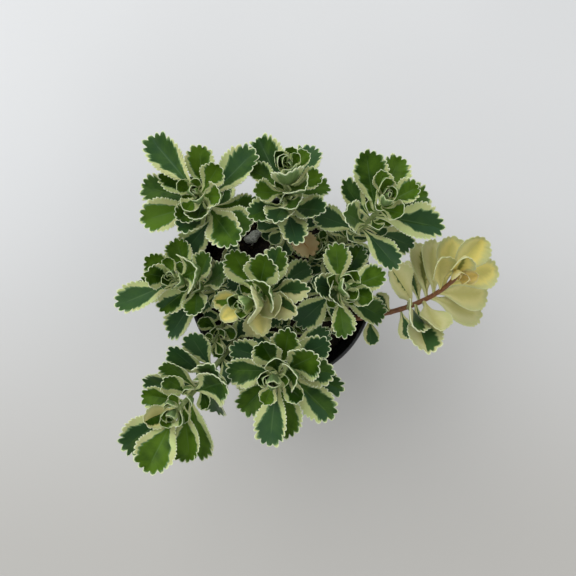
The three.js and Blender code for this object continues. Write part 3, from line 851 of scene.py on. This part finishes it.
class Shader:
    """A material's node tree, with short calls that return sockets."""

    def __init__(self, name):
        self.material = bpy.data.materials.new(name)
        self.material.use_nodes = True
        self.tree = self.material.node_tree
        self.surface = self.tree.nodes["Principled BSDF"]

    def node(self, kind, **settings):
        node = self.tree.nodes.new(kind)
        for key, value in settings.items():
            setattr(node, key, value)
        return node

    def plug(self, source, target):
        if isinstance(source, bpy.types.NodeSocket):
            self.tree.links.new(source, target)
        else:
            target.default_value = source

    def split(self, vector):
        node = self.node("ShaderNodeSeparateXYZ")
        self.plug(vector, node.inputs[0])
        return node.outputs

    def attribute(self, name):
        return self.split(self.node("ShaderNodeAttribute", attribute_name=name).outputs["Vector"])

    def fill(self, node, values):
        for value, target in zip(values, node.inputs):
            self.plug(value, target)
        return node.outputs[0]

    def plus(self, a, b):
        return self.fill(self.node("ShaderNodeMath", operation="ADD"), (a, b))

    def minus(self, a, b):
        return self.fill(self.node("ShaderNodeMath", operation="SUBTRACT"), (a, b))

    def times(self, a, b):
        return self.fill(self.node("ShaderNodeMath", operation="MULTIPLY"), (a, b))

    def centred(self, value, size):
        """What varies about a half, made to vary about zero."""
        return self.times(self.minus(value, 0.5), size)

    def ramp(self, value, low, high, out_low=0, out_high=1):
        node = self.node("ShaderNodeMapRange", interpolation_type="SMOOTHSTEP")
        return self.fill(node, (value, low, high, out_low, out_high))

    def mix(self, factor, a, b):
        node = self.node("ShaderNodeMix", data_type="RGBA")
        self.plug(factor, node.inputs[0])
        for colour, target in ((a, node.inputs[6]), (b, node.inputs[7])):
            self.plug(colour if isinstance(colour, bpy.types.NodeSocket) else (*colour, 1), target)
        return node.outputs[2]

    def blend(self, noise, a, b):
        """A colour between two, by a noise over its usual range."""
        return self.mix(self.ramp(noise, 0.3, 0.7), a, b)

    def place(self, x, y, z):
        return self.fill(self.node("ShaderNodeCombineXYZ"), (x, y, z))

    def position(self):
        return self.node("ShaderNodeTexCoord").outputs["Object"]

    def set(self, node, **values):
        for key, value in values.items():
            self.plug(value, node.inputs[key.replace("_", " ")])
        return node

    def noise(self, where, scale, detail=3, roughness=0.55):
        node = self.node("ShaderNodeTexNoise")
        self.set(node, Vector=where, Scale=scale, Detail=detail, Roughness=roughness)
        return node.outputs[0]

    def cells(self, where, scale):
        node = self.set(self.node("ShaderNodeTexVoronoi"), Vector=where, Scale=scale)
        return node.outputs["Distance"]

    def bump(self, height, strength, distance):
        node = self.node("ShaderNodeBump")
        self.set(node, Height=height, Strength=strength, Distance=distance)
        self.plug(node.outputs[0], self.surface.inputs["Normal"])

    def finish(self, colour, roughness, **constants):
        self.set(self.surface, Base_Color=colour, Roughness=roughness, **constants)
        return self.material


DEEP_GREEN = (0.014, 0.043, 0.001)
FRESH_GREEN = (0.085, 0.165, 0.01)
# Blue-green of older leaves: partly their own waxy bloom, partly a painted sheen for the reflection on the
# wax
BLOOM_AND_PAINTED_SHEEN = (0.032, 0.08, 0.034)
GREY_GREEN = (0.13, 0.22, 0.09)
CREAM = (0.5, 0.58, 0.24)
# Painted highlight along the leaves' rolled edges
RIM_PAINTED_HIGHLIGHT = (0.7, 0.75, 0.52)
YELLOW = (0.78, 0.67, 0.2)
BEIGE = (0.59, 0.57, 0.29)
OLIVE_YELLOW = (0.42, 0.41, 0.12)
APRICOT = (0.76, 0.5, 0.2)
OLIVE = (0.1, 0.13, 0.02)
PALE_CREAM = (0.52, 0.53, 0.25)
UNDER_GREEN = (0.2, 0.28, 0.12)
TAN = (0.4, 0.27, 0.12)
DRY_CREAM = (0.52, 0.42, 0.22)
RUST = (0.3, 0.11, 0.03)


STEM_GREENS = (0.2, 0.27, 0.09), (0.32, 0.38, 0.16)
CORK_BROWNS = (0.12, 0.075, 0.035), (0.24, 0.17, 0.09)
STEM_RUSTS = (0.16, 0.055, 0.025), (0.25, 0.11, 0.045)
BLACKS = (0.006, 0.0065, 0.009), (0.012, 0.013, 0.018)
DUST = (0.06, 0.055, 0.05)
PEATS = (0.006, 0.004, 0.003), (0.03, 0.02, 0.012)
BARKS = (0.03, 0.018, 0.01), (0.085, 0.055, 0.03)
GRITS = (0.5, 0.49, 0.44), (0.68, 0.67, 0.62)
# Painted shade in the pumice's pores, then its chalky white
PORE_SHADE_AND_PUMICE = (0.28, 0.28, 0.25), (0.66, 0.67, 0.62)
PUMICE_STAIN = (0.34, 0.31, 0.25)
TABLE_GREYS = (0.66, 0.66, 0.665), (0.7, 0.7, 0.705)
# Painted shade of the floor's near side
NEAR_SIDE_PAINTED_SHADE = (0.52, 0.505, 0.48)


class LeafShader(Shader):
    """The leaf's material, with the maps and noises that its colours share."""

    def __init__(self):
        super().__init__("variegated_leaf")
        self.s, self.rho, self.random = self.attribute("plant_map")
        self.pale, self.withered, self.age = self.attribute("plant_kind")
        self.top, self.stripe, self.side = self.attribute("plant_mark")
        self.own = self.times(self.random, 37)
        sided = self.plus(self.own, self.times(self.side, 5))
        streaked = self.place(self.times(self.s, 11), self.times(self.rho, 1.1), sided)
        self.streaks = self.noise(streaked, 1, 2, 0.6)
        broad = self.noise(self.place(0.0, 0.0, sided), 0.7, 0)
        self.patches = self.noise(self.position(), 130, 1)
        self.ripe = self.plus(self.age, self.centred(broad, 1.1))
        self.rib = self.minus(1, self.ramp(self.rho, 0.0, 0.06))
        lopsided = self.times(self.centred(broad, 0.9), self.ramp(self.s, 0.6, 0.95, 1, 0.15))
        self.past_edge = self.plus(self.rho, self.plus(self.centred(self.streaks, 0.6), lopsided))
        self.border = self.ramp(self.s, 0.28, 0.9, 0.33, 0.97)

    def variegated(self):
        """Green fans out from the foot to the end, inside a cream border with a jagged edge."""
        varied = self.plus(self.times(self.patches, 0.5), self.times(self.random, 0.55))
        varied = self.plus(varied, self.centred(self.streaks, 0.25))
        green = self.mix(self.ramp(varied, 0.35, 0.7), DEEP_GREEN, FRESH_GREEN)
        # Older leaves turn blue-green: partly their waxy bloom, partly a painted sheen
        green = self.mix(self.ramp(self.ripe, 0.4, 0.85, 0.05, 0.85), green, BLOOM_AND_PAINTED_SHEEN)
        green = self.mix(self.times(self.rib, 0.25), green, GREY_GREEN)
        past = self.minus(self.past_edge, self.border)
        green = self.mix(self.ramp(past, -0.12, -0.03), green, GREY_GREEN)
        cream = self.blend(self.patches, CREAM, PALE_CREAM)
        return self.mix(self.ramp(past, -0.03, 0.04), green, cream)

    def bleached(self):
        """Yellow or beige, apricot on the youngest leaves, with a green midrib on some."""
        middle = self.plus(self.rho, self.centred(self.streaks, 0.5))
        colour = self.mix(self.ramp(self.ripe, 0.25, 0.55), YELLOW, BEIGE)
        colour = self.mix(self.ramp(middle, 0.05, 0.6, 0.55, 0), colour, OLIVE_YELLOW)
        colour = self.mix(self.ramp(middle, 0.45, 0.95), colour, PALE_CREAM)
        colour = self.mix(self.ramp(self.age, 0.05, 0.2, 0.5, 0), colour, APRICOT)
        band = self.times(self.stripe, self.minus(1, self.ramp(middle, 0.08, 0.26)))
        return self.mix(self.times(band, 0.8), colour, OLIVE)

    def lost(self):
        """How far the green is lost: from the edge inwards, and more on one side."""
        kept = self.times(self.border, self.minus(1, self.pale))
        halved = self.times(self.pale, self.minus(1, self.pale))
        kept = self.plus(kept, self.times(self.side, self.times(halved, 1.5)))
        kept = self.minus(kept, self.ramp(self.pale, 0.7, 1, 0, 0.45))
        lost = self.ramp(self.minus(self.past_edge, kept), -0.1, 0.1)
        return self.times(lost, self.ramp(self.pale, 0, 0.05))

    def relief(self):
        """Fine skin, and veins near the foot."""
        skin = self.noise(self.position(), 2600, 2)
        along = self.place(self.times(self.s, 30), self.times(self.rho, 2), self.own)
        veins = self.times(self.noise(along, 1, 1), self.ramp(self.s, 0.5, 0.7, 1.5, 0))
        self.bump(self.plus(skin, veins), 0.2, 0.0003)


def leaf_material():
    """Variegated or bleached, with a painted highlight as a thin pale rim on the teeth, a duller
    underside, and the dry colours of a withered leaf."""
    shader = LeafShader()
    colour = shader.mix(shader.lost(), shader.variegated(), shader.bleached())
    # Painted highlight: a thin pale rim along the leaf's edge, weaker on young and pale leaves
    rim = shader.times(shader.ramp(shader.rho, 0.94, 0.99), shader.ramp(shader.age, 0, 0.35, 0.3, 0.85))
    rim = shader.times(rim, shader.ramp(shader.pale, 0.4, 1, 1, 0.3))
    colour = shader.mix(rim, colour, RIM_PAINTED_HIGHLIGHT)
    beneath = shader.mix(shader.ramp(shader.pale, 0.3, 0.8), UNDER_GREEN, BEIGE)
    colour = shader.mix(shader.top, shader.mix(0.45, colour, beneath), colour)
    dry = shader.mix(shader.rib, shader.blend(shader.patches, TAN, DRY_CREAM), RUST)
    colour = shader.mix(shader.withered, colour, dry)
    shader.relief()
    return shader.finish(
        colour, shader.ramp(shader.patches, 0.3, 0.7, 0.34, 0.48),
        Subsurface_Weight=0.1, Subsurface_Radius=(0.5, 0.8, 0.2), Subsurface_Scale=0.0012,
        Specular_IOR_Level=0.08,
    )


def stem_material():
    """Fleshy stems: brown and corky at the foot, green above, or red-brown on the pale shoot."""
    shader = Shader("stem")
    along, _, _ = shader.attribute("plant_map")
    red, _, _ = shader.attribute("plant_kind")
    grain = shader.noise(shader.position(), 900, 4)
    green, brown = shader.blend(grain, *STEM_GREENS), shader.blend(grain, *CORK_BROWNS)
    colour = shader.mix(shader.ramp(along, 0.02, 0.42), brown, green)
    colour = shader.mix(red, colour, shader.blend(grain, *STEM_RUSTS))
    shader.bump(grain, 0.5, 0.0004)
    return shader.finish(colour, shader.ramp(grain, 0.3, 0.7, 0.45, 0.65), Specular_IOR_Level=0.4)


def plastic_material():
    """Black moulded plastic with faint flow marks, fine scuffs and a little dust."""
    shader = Shader("black_plastic")
    where = shader.position()
    flow = shader.noise(where, 28, 3)
    scuffs = shader.noise(where, 420, 5, 0.7)
    colour = shader.mix(shader.ramp(flow, 0.35, 0.7), *BLACKS)
    dust = shader.ramp(shader.times(scuffs, flow), 0.3, 0.42)
    colour = shader.mix(shader.times(dust, 0.25), colour, DUST)
    shader.bump(scuffs, 0.12, 0.0003)
    return shader.finish(colour, shader.ramp(scuffs, 0.35, 0.7, 0.28, 0.46), Specular_IOR_Level=0.5)


def mix_material():
    """Dark damp peat with paler bark crumbs."""
    shader = Shader("potting_mix")
    _, shade, _ = shader.attribute("plant_map")
    grain = shader.noise(shader.position(), 700, 5, 0.7)
    peat, bark = shader.blend(grain, *PEATS), shader.blend(grain, *BARKS)
    colour = shader.mix(shader.ramp(shade, 0.25, 0.6), peat, bark)
    colour = shader.mix(shader.ramp(shade, 0.88, 0.92), colour, shader.blend(grain, *GRITS))
    shader.bump(grain, 0.9, 0.0008)
    return shader.finish(colour, shader.ramp(grain, 0.3, 0.7, 0.6, 0.95), Specular_IOR_Level=0.3)


def pumice_material():
    """Chalky white with painted shade in its pores, and brownish stains."""
    shader = Shader("pumice")
    where = shader.position()
    pores = shader.cells(where, 1300)
    grain = shader.noise(where, 1500, 4, 0.7)
    # Painted shade: darker in the pits of the pores
    colour = shader.mix(shader.ramp(pores, 0.05, 0.4), *PORE_SHADE_AND_PUMICE)
    colour = shader.mix(shader.times(shader.ramp(grain, 0.55, 0.75), 0.5), colour, PUMICE_STAIN)
    shader.bump(shader.plus(pores, grain), 0.8, 0.0007)
    return shader.finish(colour, 0.92, Specular_IOR_Level=0.3)


def floor_material():
    """A plain pale table top, with painted shade that makes it darker and warmer on the near side."""
    shader = Shader("pale_floor")
    where = shader.position()
    _, near_to_far, _ = shader.split(where)
    colour = shader.blend(shader.noise(where, 3, 2), *TABLE_GREYS)
    # Painted shade: the floor grows darker and warmer towards the near side
    colour = shader.mix(shader.ramp(near_to_far, -0.17, 0.08, 1, 0), colour, NEAR_SIDE_PAINTED_SHADE)
    return shader.finish(colour, 0.6, Specular_IOR_Level=0.2)


# Pieces: pot, mix and grains

def lathe_part(outline, sides):
    """A closed ring of quads from an outline of (radius, height) pairs."""
    r, z = np.array(outline).T[..., None]
    turn = full_turn(sides)
    points = np.stack(np.broadcast_arrays(r * np.cos(turn), r * np.sin(turn), z), axis=-1)
    return {"points": points.reshape(-1, 3), "quads": ring_quads(len(r), sides), "slot": 0}


def arc(centre, radius, start, end, steps):
    """Points of an arc in the outline's plane, from one angle to another in degrees."""
    angles = np.radians(np.linspace(start, end, steps))
    return [(centre[0] + radius * math.cos(a), centre[1] + radius * math.sin(a)) for a in angles]


def pot_outline():
    """The pot's section: rounded foot, sloping wall, collar and rolled rim, then the inside."""
    wall_top = inner_radius(COLLAR_FOOT) + WALL
    inner_foot = inner_radius(BASE_THICKNESS)
    middle = 0.02
    outline = [(middle, 0), (DRAIN_CIRCLE, 0)]
    outline += arc((FOOT_RADIUS - 1, 1), 1, -90, -6, 6)
    outline += [(FOOT_RADIUS + (wall_top - FOOT_RADIUS) * share, 1 + (COLLAR_FOOT - 2.2) * share)
                for share in np.linspace(0.02, 1, 24)]
    outline += arc((wall_top + 0.35, COLLAR_FOOT - 0.3), 0.35, 180, 90, 4)
    outline += arc((wall_top + 0.75, COLLAR_FOOT + 0.4), 0.4, -90, 0, 4)
    outline += [(wall_top + 1.2, COLLAR_FOOT + 2), (RIM_RADIUS - 1, POT_HEIGHT - 2.6)]
    outline += arc((RIM_RADIUS - 0.55, POT_HEIGHT - 1.6), 0.55, -80, 0, 5)
    outline += arc((RIM_RADIUS - 0.55, POT_HEIGHT - 0.55), 0.55, 0, 90, 6)
    outline += arc((RIM_RADIUS - 1.2, POT_HEIGHT - 0.5), 0.5, 90, 180, 5)
    outline += [
        (inner_radius(COLLAR_FOOT + 1), COLLAR_FOOT + 1.2),
        (inner_radius(COLLAR_FOOT - 1) + 0.1, COLLAR_FOOT - 0.6),
        (inner_radius(COLLAR_FOOT - 3), COLLAR_FOOT - 3),
        (inner_foot + 0.2, BASE_THICKNESS + 1.2),
        (inner_foot - 1, BASE_THICKNESS),
    ]
    return outline + [(middle, BASE_THICKNESS), (middle, 0)]


def make_pot(material):
    """A smooth turned pot with drain holes in its base."""
    pot = join_parts("pot_shell", [lathe_part(pot_outline(), POT_SIDES)], [material])
    for turn in full_turn(DRAIN_HOLES):
        cut_hole(pot, DRAIN_CIRCLE * math.cos(turn), DRAIN_CIRCLE * math.sin(turn))
    bpy.context.view_layer.update()
    return pot


def cut_hole(piece, x, y):
    """Cuts one round drain hole through the pot's base."""
    middle, bottom, top = 0.001, -1, BASE_THICKNESS + 1
    outline = [(middle, bottom), (DRAIN_RADIUS, bottom), (DRAIN_RADIUS, top), (middle, top)]
    drill_part = lathe_part(outline, 32)
    drill_part["points"] = drill_part["points"] + [x, y, 0]
    drill = join_parts("drill", [drill_part], [])
    cutter = piece.modifiers.new("hole", "BOOLEAN")
    cutter.operation = "DIFFERENCE"
    cutter.object = drill
    cutter.solver = "EXACT"
    view = bpy.context.evaluated_depsgraph_get()
    cut = bpy.data.meshes.new_from_object(piece.evaluated_get(view))
    piece.modifiers.clear()
    piece.data = cut
    bpy.data.objects.remove(drill)


def make_soil(material, random):
    """The mix's body with a crumbly top, and loose crumbs, bark and grit lying on it."""
    shoulder = SOIL_TOP - 2.5
    edge = inner_radius(shoulder) - 1.3 * GAP
    floor = BASE_THICKNESS + GAP
    turn = full_turn(SOIL_SIDES)
    rings = [(0.15, floor), (inner_radius(floor) - 1.3 * GAP, floor), (edge, shoulder)]
    rings += [(share * edge, None) for share in np.linspace(0.985, 0.004, 58)]
    points = []
    for radius, height in rings:
        x, y = radius * np.cos(turn), radius * np.sin(turn)
        z = np.full(SOIL_SIDES, height) if height is not None else crumbly_height(x, y)
        points.append(np.stack([x, y, z], axis=-1))
    points = np.concatenate(points)
    body = {"points": points, "quads": ring_quads(len(rings), SOIL_SIDES), "slot": 0,
            "map": np.tile([0, 0.1, 0], (len(points), 1))}
    crumbs = [make_crumb(edge, random) for _ in range(CRUMBS)]
    return join_parts("mix_surface", [body] + crumbs, [material])


def crumbly_height(x, y):
    fine = 0.35 * np.sin(1.9 * x + 0.7 * y) * np.sin(1.7 * y - 0.5 * x + 2)
    finer = 0.22 * np.sin(4.3 * x - 2.1 * y + 1) * np.cos(3.9 * y + 1.7 * x)
    return soil_height(x, y) - 0.25 + fine + finer


BLOCK = np.array([(x, y, z) for x in (-1, 1) for y in (-1, 1) for z in (-1, 1)], dtype=float)
BLOCK_QUADS = np.array([(0, 1, 3, 2), (4, 6, 7, 5), (0, 4, 5, 1), (2, 3, 7, 6), (0, 2, 6, 4), (1, 5, 7, 3)])


def rounded_block():
    """A block with each face cut in four and its corners drawn in, as the seed of a crumb."""
    points, quads = [], []
    for corners in BLOCK[BLOCK_QUADS]:
        grid = [[(corners[0] * (2 - i) * (2 - j) + corners[1] * i * (2 - j)
                  + corners[2] * i * j + corners[3] * (2 - i) * j) / 4 for j in range(3)] for i in range(3)]
        start = len(points)
        points += [point for row in grid for point in row]
        quads += [[start + 3 * i + j, start + 3 * i + 3 + j, start + 3 * i + 4 + j, start + 3 * i + 1 + j]
                  for i in range(2) for j in range(2)]
    points = np.array(points)
    return points / np.linalg.norm(points, axis=1, keepdims=True) ** 0.75, np.array(quads)


CRUMB_POINTS, CRUMB_QUADS = rounded_block()


def make_crumb(edge, random):
    """One crumb of peat, sliver of bark or speck of grit at a random place on the mix."""
    radius, angle = edge * 0.97 * math.sqrt(random.random()), 2 * math.pi * random.random()
    size = 0.35 + 1.0 * random.random() ** 2.5
    sliver = random.random() < SLIVER_SHARE
    shade = random.random() ** 1.6 * 0.85
    if random.random() < GRIT_SHARE:
        shade, size, sliver = 1, 0.3 + 0.4 * random.random(), False
    shape = np.array([2.6, 0.55, 0.35]) if sliver else 0.7 + 0.5 * random.random(3)
    bumps = 1 + 0.22 * np.sin(CRUMB_POINTS @ (3 * random.normal(size=3)) + 6 * random.random())
    points = CRUMB_POINTS * bumps[:, None] * shape * size
    spin, tip = 2 * math.pi * random.random(), 0.5 * random.normal()
    points = points @ turn_matrix(2, spin).T @ turn_matrix(0, tip).T
    x, y = radius * math.cos(angle), radius * math.sin(angle)
    points += [x, y, crumbly_height(x, y) + 0.25 * size]
    return {"points": points, "quads": CRUMB_QUADS, "slot": 0,
            "map": np.tile([0, shade, 0], (len(points), 1))}


def turn_matrix(axis, angle):
    a, b = [i for i in range(3) if i != axis]
    matrix = np.eye(3)
    matrix[a, a] = matrix[b, b] = math.cos(angle)
    matrix[a, b], matrix[b, a] = -math.sin(angle), math.sin(angle)
    return matrix


def make_grain(grain, material):
    """A porous pumice grain, half sunk in the mix."""
    steps = 48
    rise = np.linspace(-math.pi / 2 + 0.02, math.pi / 2 - 0.02, steps)
    part = lathe_part([(math.cos(a), math.sin(a)) for a in rise], 2 * steps)
    x, y, z = part["points"].T
    turn = grain["turn"]
    bump = 1 + 0.13 * np.sin(5.1 * x + 2.3 * y + turn) + 0.1 * np.cos(4.3 * z - 3.7 * y)
    pits = 0.035 * np.sin(17 * x + 3) * np.sin(19 * y - 1) + 0.025 * np.sin(31 * z + 7 * x) * np.cos(29 * y)
    points = part["points"] * (bump + pits - 0.03)[:, None] * grain["size"]
    points = points @ turn_matrix(2, math.radians(turn)).T
    part["points"] = points + [*grain["place"], soil_height(*grain["place"]) + 0.45 * grain["size"][2]]
    return join_parts(grain["name"] + "_stone", [part], [material])


# The scene

DAYLIGHT = (0.97, 0.99, 1)
WARM_WHITE = (1, 0.98, 0.95)
FLOOR_REACH = 3


def make_camera():
    """Straight above the pot, with the photo's field of view."""
    data = bpy.data.cameras.new("camera")
    data.sensor_width = 36
    data.lens = FOCAL_PIXELS / PHOTO_SIZE * data.sensor_width
    data.clip_start = 0.01
    camera = add_object("camera", data)
    camera.location = (EYE[0] * MM, EYE[1] * MM, EYE_HEIGHT * MM)
    bpy.context.scene.camera = camera


def make_light(name, place, size, power, colour):
    """A round light that faces the middle of the table."""
    data = bpy.data.lights.new(name, "AREA")
    data.shape = "DISK"
    data.size = size
    data.energy = power
    data.color = colour
    light = add_object(name, data)
    light.location = place
    light.rotation_euler = (-light.location).to_track_quat("-Z", "Y").to_euler()


def make_surroundings():
    """Soft daylight, brighter from the back left, over a plain pale floor."""
    bpy.context.scene.view_settings.view_transform = "Standard"
    world = bpy.data.worlds.new("daylight")
    bpy.context.scene.world = world
    world.use_nodes = True
    background = world.node_tree.nodes["Background"]
    background.inputs["Color"].default_value = (*DAYLIGHT, 1)
    background.inputs["Strength"].default_value = 0.57
    make_light("window", (-0.48, 0.52, 0.82), 1.2, 8.4, DAYLIGHT)
    make_light("fill", (0.7, -0.3, 0.8), 0.9, 1.9, WARM_WHITE)
    mesh = bpy.data.meshes.new("floor")
    corners = [(x * FLOOR_REACH, y * FLOOR_REACH, 0) for x, y in ((-1, -1), (1, -1), (1, 1), (-1, 1))]
    mesh.from_pydata(corners, [], [(0, 1, 2, 3)])
    mesh.materials.append(floor_material())
    floor = add_object("floor", mesh)


def main():
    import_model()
    make_camera()
    make_surroundings()
    leaf, stem = leaf_material(), stem_material()
    for plant in grow_plant():
        draw = seeded(len(plant["name"]) * 31 + 7)
        for one in plant["leaves"]:
            one["tone"] = plant.get("tone", 0.5)
            if plant.get("pale_bud"):
                one.setdefault("pale", 1 if one["age"] < 0.2 else 0.15)
        parts = [leaf_mesh(one, draw) for one in plant["leaves"]]
        parts.append(stem_mesh(plant, 1 if "tips" in plant else SPROUT_THICKNESS))
        piece = join_parts(plant["name"] + "_leafy", parts, [leaf, stem])
        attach(piece, "root")
        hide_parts(plant["name"])
    pot = make_pot(plastic_material())
    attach(pot, "root")
    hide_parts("pot")
    soil = make_soil(mix_material(), np.random.default_rng(11))
    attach(soil, "root")
    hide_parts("soil")
    stone = pumice_material()
    for grain in GRAINS:
        piece = make_grain(grain, stone)
        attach(piece, "root")
        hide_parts(grain["name"])


main()
